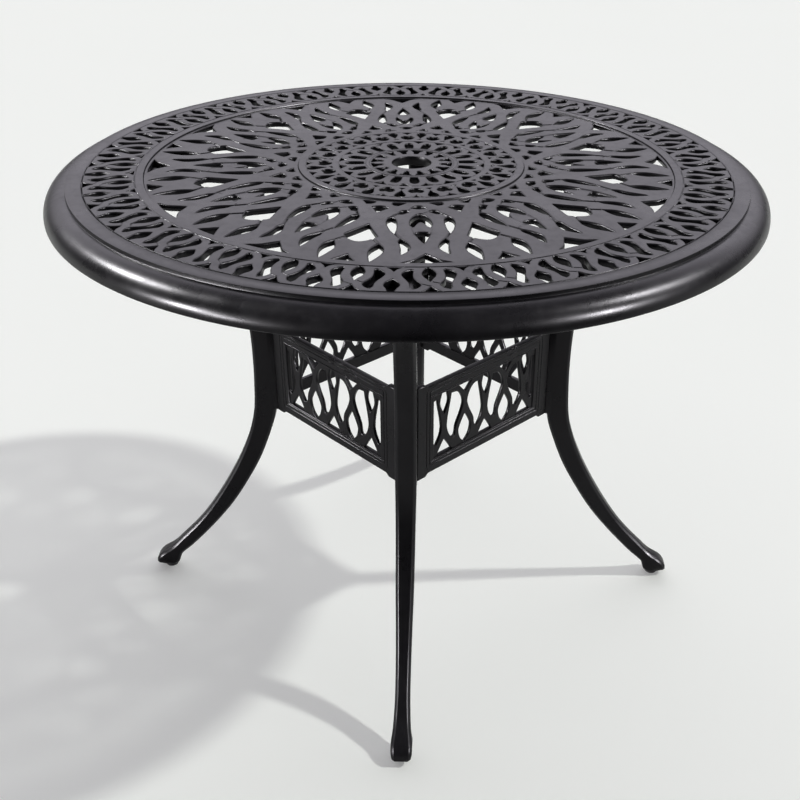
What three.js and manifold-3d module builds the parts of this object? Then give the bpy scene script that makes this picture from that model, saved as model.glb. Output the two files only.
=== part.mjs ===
// Round cast aluminium patio table with an umbrella hole.
// Millimetres, Z up. The floor is at height zero, and the Z axis is the umbrella hole's axis.
// The top is four nested castings: a bullnose rim, a strap lattice, a petal field and a medallion.
// Four C-shaped legs stand at the four sides. Openwork apron panels join them low down.

import * as THREE from 'three';
import { mergeGeometries, mergeVertices } from 'three/addons/utils/BufferGeometryUtils.js';
import Module from 'manifold-3d';

const wasm = await Module();
wasm.setup();

// Driving dimensions of the whole table
const tableHeight = 758;
const tableRadius = 522;
const plateThickness = 10;
const legCount = 4;
const clearance = 0.3;
const cutOverrun = 2;

// Rim casting
const rimWidth = 54;
const rimFlatWidth = 21;
const rimStepWidth = 1.5;
const rimStepDepth = 5.4;
const rimDepth = 36;
const rimHem = 3.2;
const rimWall = 5.5;
const rimCurveSteps = 4;
const rimLiningSteps = 2;

// Seams between the castings: each upper lip covers a tongue of the next casting
const lapWidth = 3.2;
const lapHeightShare = 0.5;

// Lattice, petal field and medallion
const latticeWidth = 83;
const middleRingWidth = 12.4;
const medallionRadius = 167;
const petalRecess = 2;
const umbrellaHoleRadius = 29.25;
const collarWall = 8.7;
const collarDepth = 3.5;
const latticeRepeats = 32;
const petalRepeats = 12;
const medallionRepeats = 20;
const hubRepeats = 16;
const patternTurn = 4.75;

// Legs
const footSetback = 60;
const legTopSetout = 12.2;
const legWidth = 31.6;
const legChamfer = 4.5;
const padMargin = 21;
const padSetback = 2;
const padWidth = 68;
const padThickness = 8;
const bossRadius = 212;
const bossFlat = 14;
const bossDepth = 20;

// Apron panels
const apronStandoff = 18.6;
const apronBottom = 343;
const apronHeight = 148.5;
const apronThickness = 9;
const railHeight = 21.3;
const stileWidth = 32.5;
const cornerWidth = 22;
const cornerDrop = 4.7;
const ogeeWidth = 7.5;
const apronPitchShare = 0.79;
const openworkThickness = 5;
const openworkSetback = 2;
const openworkSeat = 3;

// Corner braces inside the apron
const braceThickness = 5;
const braceHeight = 84;
const braceSetback = 2;

// Bolts, screws and foot glides
const legBoltRadius = 4;
const legBoltGrip = 21;
const legBoltSpacing = 46;
const legBoltHeadRadius = 7.5;
const legBoltHeadHeight = 5.3;
const screwRadius = 3;
const screwBite = 6.4;
const screwHeadRadius = 5.5;
const screwHeadHeight = 3;
const topBoltRadius = 3;
const topBoltSpacing = 48;
const topBoltHeadRadius = 5.8;
const topBoltHeadHeight = 4;
const topBoltSkin = 2.5;
const glideRadius = 10.5;
const glideHeight = 5;
const glideStemRadius = 4;
const glideStemLength = 24;

// Facet counts
const circleSides = 48;
const boreSides = 8;
const glideSides = 16;
const hexSides = 6;

// Sizes that follow from the driving dimensions
const plateBottom = tableHeight - plateThickness;
const lapHeight = plateBottom + plateThickness * lapHeightShare;
const tongueTop = lapHeight - clearance;
const petalTop = tableHeight - petalRecess;
const latticeRadius = tableRadius - rimWidth;
const rimFlatRadius = latticeRadius + rimFlatWidth;
const petalRadius = latticeRadius - latticeWidth;
const openLatticeRadius = petalRadius + middleRingWidth;
const frontAngle = -90;
const legPitch = 360 / legCount;
const halfPitch = THREE.MathUtils.degToRad(legPitch / 2);
const footHeight = glideHeight + clearance;
const legTop = plateBottom - clearance;
const apronTop = apronBottom + apronHeight;
const apronMiddle = apronBottom + apronHeight / 2;
const apronDistance = bossRadius * Math.cos(halfPitch) + apronStandoff;
const apronInner = apronDistance - apronThickness;
const apronHalfLength = bossRadius * Math.sin(halfPitch) - (bossFlat / 2) * Math.cos(halfPitch) - clearance;
const openHalfLength = apronHalfLength - stileWidth;
const apronPitch = openHalfLength * apronPitchShare;
const openBottom = apronBottom + railHeight;
const openHeight = apronHeight - 2 * railHeight;
const middleBoltRadius = (petalRadius + lapWidth + clearance + openLatticeRadius) / 2;
const rimBoltRadius = (latticeRadius + lapWidth + clearance + rimFlatRadius) / 2;
const topBoltTip = tableHeight - topBoltSkin;
const padInnerRadius = middleBoltRadius - padMargin;
const padOuterRadius = rimFlatRadius - padSetback;
const legTopReach = middleBoltRadius + legTopSetout;
const legReach = tableRadius - footSetback;

// Finishes
const castPaint = new THREE.MeshStandardMaterial({ color: 0x454248, roughness: 0.42, metalness: 0.35 });
const bracePaint = new THREE.MeshStandardMaterial({ color: 0x3b393d, roughness: 0.55, metalness: 0.3 });
const zincSteel = new THREE.MeshStandardMaterial({ color: 0x8d8f92, roughness: 0.35, metalness: 0.9 });
const nylon = new THREE.MeshStandardMaterial({ color: 0x1b1b1c, roughness: 0.7, metalness: 0 });

// Makes a solid from a closed geometry, with its faces turned outwards
function solidOf(geometry) {
  const bare = geometry.clone();
  bare.deleteAttribute('normal');
  bare.deleteAttribute('uv');
  const merged = mergeVertices(bare);
  const vertProperties = new Float32Array(merged.attributes.position.array);
  const triVerts = new Uint32Array(merged.index.array);
  if (signedVolume(vertProperties, triVerts) < 0) {
    triVerts.reverse();
  }
  return new wasm.Manifold(new wasm.Mesh({ numProp: 3, vertProperties, triVerts }));
}

function signedVolume(places, corners) {
  const point = (corner) => new THREE.Vector3().fromArray(places, corners[corner] * 3);
  let volume = 0;
  for (let corner = 0; corner < corners.length; corner += 3) {
    volume += point(corner).dot(point(corner + 1).cross(point(corner + 2)));
  }
  return volume;
}

function meshOf(name, solid, material) {
  const { numProp, vertProperties, triVerts } = solid.getMesh();
  const geometry = new THREE.BufferGeometry();
  geometry.setAttribute('position', new THREE.BufferAttribute(vertProperties, numProp));
  geometry.setIndex(new THREE.BufferAttribute(triVerts, 1));
  geometry.computeVertexNormals();
  const mesh = new THREE.Mesh(geometry, material);
  mesh.name = name;
  return mesh;
}

// A ring turned about the Z axis from a closed profile of [radius, height] points
function turned(profile) {
  const points = [...profile, profile[0]].map(([radius, height]) => new THREE.Vector2(radius, height));
  return new THREE.LatheGeometry(points, circleSides).rotateX(Math.PI / 2);
}

// A prism on an outline of [x, y] points, from one height to another
function prism(outline, bottom, top) {
  const shape = new THREE.Shape(outline.map(([x, y]) => new THREE.Vector2(x, y)));
  const geometry = new THREE.ExtrudeGeometry(shape, { depth: top - bottom, bevelEnabled: false });
  return geometry.translate(0, 0, bottom);
}

// A rod along the Z axis, from one height to another
function rod(radius, bottom, top, sides) {
  const geometry = new THREE.CylinderGeometry(radius, radius, top - bottom, sides);
  return geometry.rotateX(Math.PI / 2).translate(0, 0, (top + bottom) / 2);
}

// A hexagon-headed bolt along the Z axis: the head lies below zero, the shank above it
function bolt(radius, length, headRadius, headHeight, headSides) {
  const head = solidOf(rod(headRadius, -headHeight, 0, headSides));
  const shank = solidOf(rod(radius, -headHeight / 2, length, boreSides));
  return head.add(shank);
}

function rectangle(left, right, bottom, top) {
  return [[left, bottom], [right, bottom], [right, top], [left, top]];
}

// Outlines of holes: [across, along] shares of one repeat, and their mirror images
function mirrored(outlineShares) {
  return outlineShares.map(([across, along]) => [-across, along]).reverse();
}

function whole(halfShares) {
  return [...halfShares, ...mirrored(halfShares).filter(([across]) => across !== 0)];
}

function moved(outlineShares, step) {
  return outlineShares.map(([across, along]) => [across + step, along]);
}

// Joins every hole of every repeat round a ring into one cutter.
// Across is a share of a repeat's angle. Along is a share of the way from inner to outer radius.
function ringCutter(holeShares, repeats, turn, innerRadius, outerRadius) {
  const pitch = 360 / repeats;
  const cutters = [];
  for (let repeat = 0; repeat < repeats; repeat += 1) {
    for (const outlineShares of holeShares) {
      const outline = outlineShares.map(([across, along]) => {
        const angle = THREE.MathUtils.degToRad(frontAngle + turn + (repeat + across) * pitch);
        const radius = innerRadius + along * (outerRadius - innerRadius);
        return [radius * Math.cos(angle), radius * Math.sin(angle)];
      });
      cutters.push(prism(outline, plateBottom - cutOverrun, tableHeight + cutOverrun));
    }
  }
  return solidOf(mergeGeometries(cutters));
}

// Rim: a flat ring, a small step and a hollow bullnose
function rim() {
  const curveRadius = rimFlatRadius + rimStepWidth;
  const curveTop = tableHeight - rimStepDepth;
  const curveBottom = tableHeight - rimDepth + rimHem;
  const curveReach = tableRadius - curveRadius;
  const curveDrop = curveTop - curveBottom;
  const lipBottom = tableHeight - rimDepth;
  const outside = quarterEllipse(curveRadius, curveBottom, curveReach, curveDrop, rimCurveSteps);
  const liningReach = curveReach - rimWall;
  const liningDrop = curveDrop - rimWall;
  const lining = quarterEllipse(curveRadius, curveBottom, liningReach, liningDrop, rimLiningSteps);
  const blank = solidOf(turned([
    [latticeRadius + clearance, lapHeight],
    [latticeRadius + clearance, tableHeight],
    [rimFlatRadius, tableHeight],
    ...outside,
    [tableRadius, lipBottom],
    [tableRadius - rimWall, lipBottom],
    ...lining.reverse(),
    [rimFlatRadius, plateBottom],
    [latticeRadius + lapWidth + clearance, plateBottom],
    [latticeRadius + lapWidth + clearance, lapHeight],
  ]));
  return blank.subtract(topBoltHoles([[rimBoltRadius, 0]]));
}

function quarterEllipse(centreRadius, centreHeight, reach, drop, steps) {
  const points = [];
  for (let step = 0; step <= steps; step += 1) {
    const angle = (Math.PI / 2) * (step / steps);
    points.push([centreRadius + reach * Math.sin(angle), centreHeight + drop * Math.cos(angle)]);
  }
  return points;
}

// Blind holes from below for the bolts that hold the legs, at the given [radius, across] places
function topBoltHoles(places) {
  const holes = [];
  for (let leg = 0; leg < legCount; leg += 1) {
    const turn = THREE.MathUtils.degToRad(frontAngle + leg * legPitch);
    for (const [radius, across] of places) {
      const out = Math.sqrt(radius ** 2 - across ** 2);
      const hole = rod(topBoltRadius + clearance, plateBottom - cutOverrun, topBoltTip, boreSides);
      holes.push(hole.translate(out, across, 0).rotateZ(turn));
    }
  }
  return solidOf(mergeGeometries(holes));
}

// Strap lattice: interlaced strands outside a flat ring
const latticeHoleShares = [
  whole([[0.107, 0.977], [0, 0.781]]),
  whole([[0, 0.576], [0.071, 0.397], [0.094, 0.251], [0.049, 0.085], [0, 0.022]]),
  moved(whole([[0.044, 0.97], [0.1, 0.702], [0, 0.503]]), 0.5),
  moved(whole([[0, 0.178], [0.098, 0.029]]), 0.5),
];
const latticeSlotShares = [
  [0.231, 0.874], [0.126, 0.69], [0.204, 0.49], [0.231, 0.304], [0.233, 0.118],
  [0.333, 0.171], [0.384, 0.304], [0.307, 0.536], [0.262, 0.748],
];
latticeHoleShares.push(latticeSlotShares, mirrored(latticeSlotShares));

function borderLattice() {
  const blank = solidOf(turned([
    [petalRadius + clearance, tableHeight],
    [latticeRadius, tableHeight],
    [latticeRadius, tongueTop],
    [latticeRadius + lapWidth, tongueTop],
    [latticeRadius + lapWidth, plateBottom],
    [petalRadius + lapWidth + clearance, plateBottom],
    [petalRadius + lapWidth + clearance, lapHeight],
    [petalRadius + clearance, lapHeight],
  ]));
  const holes = ringCutter(
    latticeHoleShares, latticeRepeats, patternTurn, openLatticeRadius, latticeRadius,
  );
  const halfSpacing = topBoltSpacing / 2;
  const boltPlaces = [[middleBoltRadius, halfSpacing], [middleBoltRadius, -halfSpacing]];
  return blank.subtract(holes).subtract(topBoltHoles(boltPlaces));
}

// Petal field: twelve pointed petals of crossing strands
const petalHoleShares = [
  whole([[0.157, 0.981], [0.063, 0.921], [0, 0.855]]),
  whole([[0, 0.687], [0.038, 0.608], [0.062, 0.537], [0.04, 0.506]]),
  whole([[0, 0.367], [0.077, 0.436], [0.105, 0.35], [0.08, 0.269], [0, 0.219]]),
  whole([[0, 0.132], [0.1, 0.115], [0, 0.077]]),
  moved(whole([[0, 0.689], [0.103, 0.637], [0.137, 0.608], [0.087, 0.531], [0, 0.419]]), 0.5),
  moved(whole([[0, 0.204], [0.107, 0.126], [0, 0.101]]), 0.5),
  moved(whole([[0.07, 0.98], [0, 0.893]]), 0.5),
];
const petalSideShares = [
  [[0.158, 0.853], [0.11, 0.769], [0.113, 0.7], [0.178, 0.621], [0.19, 0.662], [0.165, 0.775]],
  [
    [0.24, 0.533], [0.232, 0.458], [0.243, 0.35], [0.263, 0.303], [0.313, 0.279], [0.345, 0.34],
    [0.317, 0.425],
  ],
  [[0.25, 0.219], [0.207, 0.226], [0.117, 0.18], [0.18, 0.16], [0.233, 0.185]],
  [[0.343, 0.966], [0.298, 0.87], [0.287, 0.801], [0.33, 0.711], [0.375, 0.808], [0.365, 0.887]],
  [[0.363, 0.031], [0.35, 0.067], [0.287, 0.08], [0.187, 0.031]],
];
for (const sideShares of petalSideShares) {
  petalHoleShares.push(sideShares, mirrored(sideShares));
}

function petalField() {
  const blank = solidOf(turned([
    [medallionRadius + clearance, petalTop],
    [petalRadius, petalTop],
    [petalRadius, tongueTop],
    [petalRadius + lapWidth, tongueTop],
    [petalRadius + lapWidth, plateBottom],
    [medallionRadius - lapWidth, plateBottom],
    [medallionRadius - lapWidth, tongueTop],
    [medallionRadius + clearance, tongueTop],
  ]));
  return blank.subtract(ringCutter(
    petalHoleShares, petalRepeats, patternTurn, medallionRadius, petalRadius,
  ));
}

// Medallion: two rings of small openings round the umbrella hole and its collar
const medallionHoleShares = [
  whole([[0, 0.803], [0.117, 0.824], [0.267, 0.776], [0.189, 0.731], [0, 0.705]]),
  whole([[0, 0.584], [0.189, 0.556], [0.25, 0.493], [0.233, 0.425]]),
  moved(whole([[0.094, 0.923], [0.158, 0.874], [0.083, 0.813], [0, 0.759]]), 0.5),
  moved(whole([[0.272, 0.642], [0, 0.581]]), 0.5),
  whole([[0.161, 0.924], [0, 0.874]]),
];
const hubHoleShares = [
  whole([[0.373, 0.357], [0.222, 0.315], [0.178, 0.268], [0.098, 0.254]]),
];

function medallion() {
  const blank = solidOf(turned([
    [umbrellaHoleRadius, tableHeight],
    [medallionRadius, tableHeight],
    [medallionRadius, lapHeight],
    [medallionRadius - lapWidth - clearance, lapHeight],
    [medallionRadius - lapWidth - clearance, plateBottom],
    [umbrellaHoleRadius + collarWall, plateBottom],
    [umbrellaHoleRadius + collarWall, plateBottom - collarDepth],
    [umbrellaHoleRadius, plateBottom - collarDepth],
  ]));
  const ringHoles = ringCutter(medallionHoleShares, medallionRepeats, patternTurn, 0, medallionRadius);
  const hubTurn = patternTurn + 360 / hubRepeats / 2;
  const hubHoles = ringCutter(hubHoleShares, hubRepeats, hubTurn, 0, medallionRadius);
  return blank.subtract(ringHoles).subtract(hubHoles);
}

// Leg stations from the top down, each a chamfered section between two edges of the C.
// Outer and inner radius are shares of the way out from the boss's flat to the leg's top,
// the heights are shares of the height above the foot's underside, and the last value
// is a share of the leg's width.
const upperLegShares = [
  [1, 1, 0.735, 1, 1.04],
  [0.739, 0.93, 0.608, 0.968, 0.96],
  [0.546, 0.872, 0.388, 0.9, 0.95],
  [0.412, 0.812, 0.239, 0.834, 0.98],
  [0.266, 0.693, 0.074, 0.701, 1],
  [0.237, 0.571, 0.046, 0.571, 1],
];

// The same below the boss, with the radii as shares of the way out to the foot's tip
const lowerLegShares = [
  [0.187, 0.51, 0.039, 0.508, 1],
  [0.209, 0.432, 0.069, 0.421, 0.97],
  [0.307, 0.329, 0.187, 0.311, 0.9],
  [0.398, 0.267, 0.29, 0.247, 0.87],
  [0.503, 0.205, 0.407, 0.184, 0.78],
  [0.632, 0.143, 0.551, 0.12, 0.715],
  [0.797, 0.08, 0.726, 0.057, 0.74],
  [0.889, 0.05, 0.817, 0.026, 0.89],
  [0.959, 0.032, 0.828, 0.016, 1.01],
  [0.996, 0.017, 0.836, 0.009, 0.98],
  [0.996, 0.006, 0.852, 0.003, 0.89],
  [0.948, 0, 0.856, 0, 0.65],
];

// One section of the leg as eight points: the corners are cut by the chamfer
function legSection([outerOut, outerHeight, innerOut, innerHeight, width], reach) {
  const way = reach - bossRadius;
  const rise = legTop - footHeight;
  const outer = new THREE.Vector3(bossRadius + outerOut * way, 0, footHeight + outerHeight * rise);
  const inner = new THREE.Vector3(bossRadius + innerOut * way, 0, footHeight + innerHeight * rise);
  const edge = (width * legWidth) / 2;
  const cutShare = legChamfer / outer.distanceTo(inner);
  const outerCut = outer.clone().lerp(inner, cutShare);
  const innerCut = inner.clone().lerp(outer, cutShare);
  const at = (place, across) => new THREE.Vector3(place.x, across, place.z);
  return [
    at(outer, legChamfer - edge), at(outer, edge - legChamfer),
    at(outerCut, edge), at(innerCut, edge),
    at(inner, edge - legChamfer), at(inner, legChamfer - edge),
    at(innerCut, -edge), at(outerCut, -edge),
  ];
}

// A closed skin over a row of sections with equal point counts
function loft(sections) {
  const count = sections[0].length;
  const points = sections.flat();
  const corners = [];
  for (let row = 0; row + 1 < sections.length; row += 1) {
    for (let side = 0; side < count; side += 1) {
      const here = row * count + side;
      const beside = row * count + (side + 1) % count;
      corners.push(here, beside, beside + count);
      corners.push(here, beside + count, here + count);
    }
  }
  const last = points.length - count;
  for (let side = 1; side + 1 < count; side += 1) {
    corners.push(0, side + 1, side);
    corners.push(last, last + side, last + side + 1);
  }
  const geometry = new THREE.BufferGeometry().setFromPoints(points);
  geometry.setIndex(corners);
  return geometry;
}

// Boss on the leg's inner side: its two slanted faces meet the ends of the apron panels
function legBoss() {
  const edge = legWidth / 2;
  const cornerRadius = bossRadius + (edge - bossFlat / 2) / Math.tan(halfPitch);
  const backRadius = bossRadius + bossDepth;
  const outline = [
    [bossRadius, -bossFlat / 2], [cornerRadius, -edge], [backRadius, -edge],
    [backRadius, edge], [cornerRadius, edge], [bossRadius, bossFlat / 2],
  ];
  return prism(outline, apronBottom - cornerDrop, apronTop + cornerDrop);
}

// Heights of the two bolts that hold each leg to its brace
const legBoltHeights = [apronMiddle + legBoltSpacing / 2, apronMiddle - legBoltSpacing / 2];

// Places of the three bolts that hold each leg's pad to the top
const topBoltPlaces = [
  [Math.sqrt(middleBoltRadius ** 2 - (topBoltSpacing / 2) ** 2), topBoltSpacing / 2],
  [Math.sqrt(middleBoltRadius ** 2 - (topBoltSpacing / 2) ** 2), -topBoltSpacing / 2],
  [rimBoltRadius, 0],
];

// The glide's stem stands in the middle of the foot's flat underside
const footShares = lowerLegShares[lowerLegShares.length - 1];
const glideCentre = bossRadius + (legReach - bossRadius) * (footShares[0] + footShares[2]) / 2;

function leg() {
  const padOutline = rectangle(padInnerRadius, padOuterRadius, -padWidth / 2, padWidth / 2);
  const padBottom = legTop - padThickness;
  const pad = prism(padOutline, padBottom, legTop);
  const upper = upperLegShares.map((shares) => legSection(shares, legTopReach));
  const lower = lowerLegShares.map((shares) => legSection(shares, legReach));
  let body = solidOf(loft([...upper, ...lower]));
  body = body.add(solidOf(legBoss())).add(solidOf(pad));
  const holes = [];
  for (const height of legBoltHeights) {
    const hole = rod(legBoltRadius + clearance, bossRadius - cutOverrun, bossRadius + legBoltGrip, boreSides);
    holes.push(hole.rotateY(Math.PI / 2).translate(0, 0, height));
  }
  for (const [out, across] of topBoltPlaces) {
    const hole = rod(topBoltRadius + clearance, padBottom - cutOverrun, legTop + cutOverrun, boreSides);
    holes.push(hole.translate(out, across, 0));
  }
  const socketTop = footHeight + glideStemLength + clearance;
  const socket = rod(glideStemRadius + clearance, footHeight - cutOverrun, socketTop, boreSides);
  holes.push(socket.translate(glideCentre, 0, 0));
  return body.subtract(solidOf(mergeGeometries(holes)));
}

// Apron panel: a frame with dropped corners round an openwork plate.
// Shares across are of the strand pitch, and shares along are of the opening's height.
const apronLensShares = whole([[0.045, 0.97], [0.09, 0.83], [0, 0.64]]);
const apronFootShares = whole([[0, 0.235], [0.18, 0.02]]);
const apronPeakShares = whole([[0.165, 0.98], [0, 0.845]]);
const apronDropShares = whole([[0, 0.5], [0.11, 0.36], [0.15, 0.24], [0.1, 0.08], [0, 0.02]]);
const apronSlotShares = [
  [0.17, 0.92], [0.3, 0.9], [0.44, 0.7], [0.29, 0.36], [0.24, 0.2], [0.18, 0.19], [0.07, 0.42], [0.12, 0.7],
];
const apronEndShares = [
  [0.17, 0.92], [0.24, 0.91], [0.24, 0.28], [0.19, 0.19], [0.07, 0.42], [0.12, 0.7],
];
const apronHoleShares = [
  apronLensShares, moved(apronLensShares, 1), moved(apronLensShares, -1),
  apronFootShares, moved(apronFootShares, 1), moved(apronFootShares, -1),
  moved(apronPeakShares, 0.5), moved(apronPeakShares, -0.5),
  moved(apronDropShares, 0.5), moved(apronDropShares, -0.5),
  apronSlotShares, mirrored(apronSlotShares),
  moved(mirrored(apronSlotShares), 1), moved(apronSlotShares, -1),
  moved(apronEndShares, 1), moved(mirrored(apronEndShares), -1),
];

// Turns a prism drawn as [along the panel, up] so that its depth points away from the table's axis
const panelTurn = new THREE.Matrix4().makeBasis(
  new THREE.Vector3(0, 1, 0), new THREE.Vector3(0, 0, 1), new THREE.Vector3(1, 0, 0),
);

function apronPanel() {
  const ogeeStart = apronHalfLength - cornerWidth;
  const ogeeEnd = ogeeStart + ogeeWidth;
  const quarter = [[ogeeStart, 0], [ogeeEnd, cornerDrop], [apronHalfLength, cornerDrop]];
  const above = quarter.map(([along, rise]) => [along, apronTop + rise]);
  const below = quarter.map(([along, rise]) => [along, apronBottom - rise]).reverse();
  const right = [...above, ...below];
  const outline = [...right, ...mirrored(right)];
  const frame = solidOf(prism(outline, apronInner, apronDistance).applyMatrix4(panelTurn));
  const window = rectangle(-openHalfLength, openHalfLength, openBottom, openBottom + openHeight);
  const opening = prism(window, apronInner - cutOverrun, apronDistance + cutOverrun);
  const plateOutline = rectangle(
    -openHalfLength - openworkSeat, openHalfLength + openworkSeat,
    openBottom - openworkSeat, openBottom + openHeight + openworkSeat,
  );
  const plateFront = apronDistance - openworkSetback;
  const plate = prism(plateOutline, plateFront - openworkThickness, plateFront);
  const cutters = apronHoleShares.map((outlineShares) => {
    const place = ([across, along]) => [across * apronPitch, openBottom + along * openHeight];
    return prism(outlineShares.map(place), apronInner, apronDistance);
  });
  const holes = solidOf(mergeGeometries(cutters).applyMatrix4(panelTurn));
  const screwHoles = [screwPlace, -screwPlace].map((along) => {
    const hole = rod(screwRadius + clearance, apronInner - cutOverrun, apronInner + screwBite, boreSides);
    return hole.translate(along, apronMiddle, 0);
  });
  const openwork = solidOf(plate.applyMatrix4(panelTurn)).subtract(holes);
  return frame
    .subtract(solidOf(opening.applyMatrix4(panelTurn)))
    .add(openwork)
    .subtract(solidOf(mergeGeometries(screwHoles).applyMatrix4(panelTurn)));
}

// Corner brace, drawn in the leg's frame as [out, across]: a flat against the leg's boss
// and two slanted tabs against the inner faces of the panels on either side
const braceOuter = bossRadius - clearance;
const braceTab = apronInner - clearance;
const braceBend = (braceTab - braceOuter * Math.cos(halfPitch)) / Math.sin(halfPitch);
const braceTabEnd = openHalfLength + braceSetback;
const braceBendAlong = braceOuter * Math.sin(halfPitch) - braceBend * Math.cos(halfPitch);
const screwPlace = (braceTabEnd + braceBendAlong) / 2;

// A point given by its distance from the axis and its place along the panel beside the leg
function besidePanel(distance, along) {
  return [
    distance * Math.cos(halfPitch) + along * Math.sin(halfPitch),
    distance * Math.sin(halfPitch) - along * Math.cos(halfPitch),
  ];
}

function cornerBrace() {
  const inner = braceOuter - braceThickness;
  const innerTab = braceTab - braceThickness;
  const innerBend = (innerTab - inner * Math.cos(halfPitch)) / Math.sin(halfPitch);
  const half = [
    [braceOuter, braceBend], besidePanel(braceTab, braceTabEnd),
    besidePanel(innerTab, braceTabEnd), [inner, innerBend],
  ];
  const outline = [...half, ...half.map(([out, across]) => [out, -across]).reverse()];
  const plate = solidOf(prism(outline, apronMiddle - braceHeight / 2, apronMiddle + braceHeight / 2));
  const holes = legBoltHeights.map((height) => {
    const hole = rod(legBoltRadius + clearance, inner - cutOverrun, braceOuter + cutOverrun, boreSides);
    return hole.rotateY(Math.PI / 2).translate(0, 0, height);
  });
  for (const side of [1, -1]) {
    const hole = rod(screwRadius + clearance, innerTab - cutOverrun, braceTab + cutOverrun, boreSides);
    hole.translate(-side * screwPlace, apronMiddle, 0).applyMatrix4(panelTurn);
    holes.push(hole.rotateZ(side * halfPitch));
  }
  return plate.subtract(solidOf(mergeGeometries(holes)));
}

// Foot glide: a flat pad on a threaded stem
function footGlide() {
  const pad = solidOf(rod(glideRadius, 0, glideHeight, glideSides));
  return pad.add(solidOf(rod(glideStemRadius, glideHeight / 2, footHeight + glideStemLength, boreSides)));
}

// Turns a bolt drawn along Z so that it points away from the table's axis
const outwards = new THREE.Matrix4().makeRotationY(Math.PI / 2);

const rimSolid = rim();
const latticeSolid = borderLattice();
const petalSolid = petalField();
const medallionSolid = medallion();
const legSolid = leg();
const panelSolid = apronPanel();
const braceSolid = cornerBrace();
const glideSolid = footGlide();
const legBoltLength = braceThickness + clearance + legBoltGrip;
const legBoltSolid = bolt(legBoltRadius, legBoltLength, legBoltHeadRadius, legBoltHeadHeight, hexSides);
const screwLength = braceThickness + clearance + screwBite;
const screwSolid = bolt(screwRadius, screwLength, screwHeadRadius, screwHeadHeight, boreSides);
const topBoltLength = topBoltTip - (legTop - padThickness);
const topBoltSolid = bolt(topBoltRadius, topBoltLength, topBoltHeadRadius, topBoltHeadHeight, hexSides);

const table = new THREE.Group();
table.name = 'umbrella_table';
table.add(meshOf('rim', rimSolid, castPaint));
table.add(meshOf('border_lattice', latticeSolid, castPaint));
table.add(meshOf('petal_field', petalSolid, castPaint));
table.add(meshOf('medallion', medallionSolid, castPaint));

// Each side has a leg with its brace, bolts and glide, and each gap between legs has a panel
const sideNames = ['front', 'right', 'back', 'left'];
for (let side = 0; side < legCount; side += 1) {
  const sideName = sideNames[side];
  const nextName = sideNames[(side + 1) % legCount];
  const legGroup = new THREE.Group();
  legGroup.rotation.z = THREE.MathUtils.degToRad(frontAngle + side * legPitch);
  legGroup.add(meshOf(`leg_${sideName}`, legSolid, castPaint));
  legGroup.add(meshOf(`corner_brace_${sideName}`, braceSolid, bracePaint));

  const glide = meshOf(`foot_glide_${sideName}`, glideSolid, nylon);
  glide.position.x = glideCentre;
  legGroup.add(glide);

  legBoltHeights.forEach((height, row) => {
    const legBolt = meshOf(`leg_bolt_${sideName}_${row + 1}`, legBoltSolid, zincSteel);
    legBolt.applyMatrix4(outwards);
    legBolt.position.set(braceOuter - braceThickness - clearance, 0, height);
    legGroup.add(legBolt);
  });

  topBoltPlaces.forEach(([out, across], row) => {
    const topBolt = meshOf(`top_bolt_${sideName}_${row + 1}`, topBoltSolid, zincSteel);
    topBolt.position.set(out, across, legTop - padThickness - clearance);
    legGroup.add(topBolt);
  });

  const panelGroup = new THREE.Group();
  panelGroup.rotation.z = THREE.MathUtils.degToRad(frontAngle + (side + 0.5) * legPitch);
  panelGroup.add(meshOf(`apron_panel_${sideName}_${nextName}`, panelSolid, castPaint));
  [screwPlace, -screwPlace].forEach((along, row) => {
    const screw = meshOf(`panel_screw_${sideName}_${nextName}_${row + 1}`, screwSolid, zincSteel);
    screw.applyMatrix4(outwards);
    screw.position.set(apronInner - clearance - braceThickness - clearance, along, apronMiddle);
    panelGroup.add(screw);
  });
  table.add(legGroup, panelGroup);
}

export default table;
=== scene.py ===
import math
import bpy
import numpy as np
from mathutils import Matrix
from mathutils.geometry import delaunay_2d_cdt


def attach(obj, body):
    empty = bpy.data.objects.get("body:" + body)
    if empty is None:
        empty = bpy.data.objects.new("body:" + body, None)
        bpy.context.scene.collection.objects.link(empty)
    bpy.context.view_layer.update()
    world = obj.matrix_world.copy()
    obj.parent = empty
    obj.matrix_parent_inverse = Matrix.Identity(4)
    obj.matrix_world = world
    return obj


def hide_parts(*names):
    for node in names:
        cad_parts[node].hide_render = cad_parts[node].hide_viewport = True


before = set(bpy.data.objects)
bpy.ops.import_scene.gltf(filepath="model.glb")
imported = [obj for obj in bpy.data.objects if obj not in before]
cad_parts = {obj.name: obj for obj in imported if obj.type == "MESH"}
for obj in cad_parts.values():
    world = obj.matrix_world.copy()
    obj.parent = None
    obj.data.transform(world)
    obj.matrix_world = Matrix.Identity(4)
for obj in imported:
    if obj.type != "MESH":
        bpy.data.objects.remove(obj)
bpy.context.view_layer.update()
sides = {"front": -90.0, "right": 0.0, "back": 90.0, "left": 180.0}
corners = {"front_right": -45.0, "right_back": 45.0, "back_left": 135.0, "left_front": 225.0}
unit = 0.468                                      # lattice radius, which the pattern radii are shares of
patternCentre = -85.25                            # degrees of the first cell of petals, lattice, medallion
chunk = 64                                        # edges compared at a time, which saves memory


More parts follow.
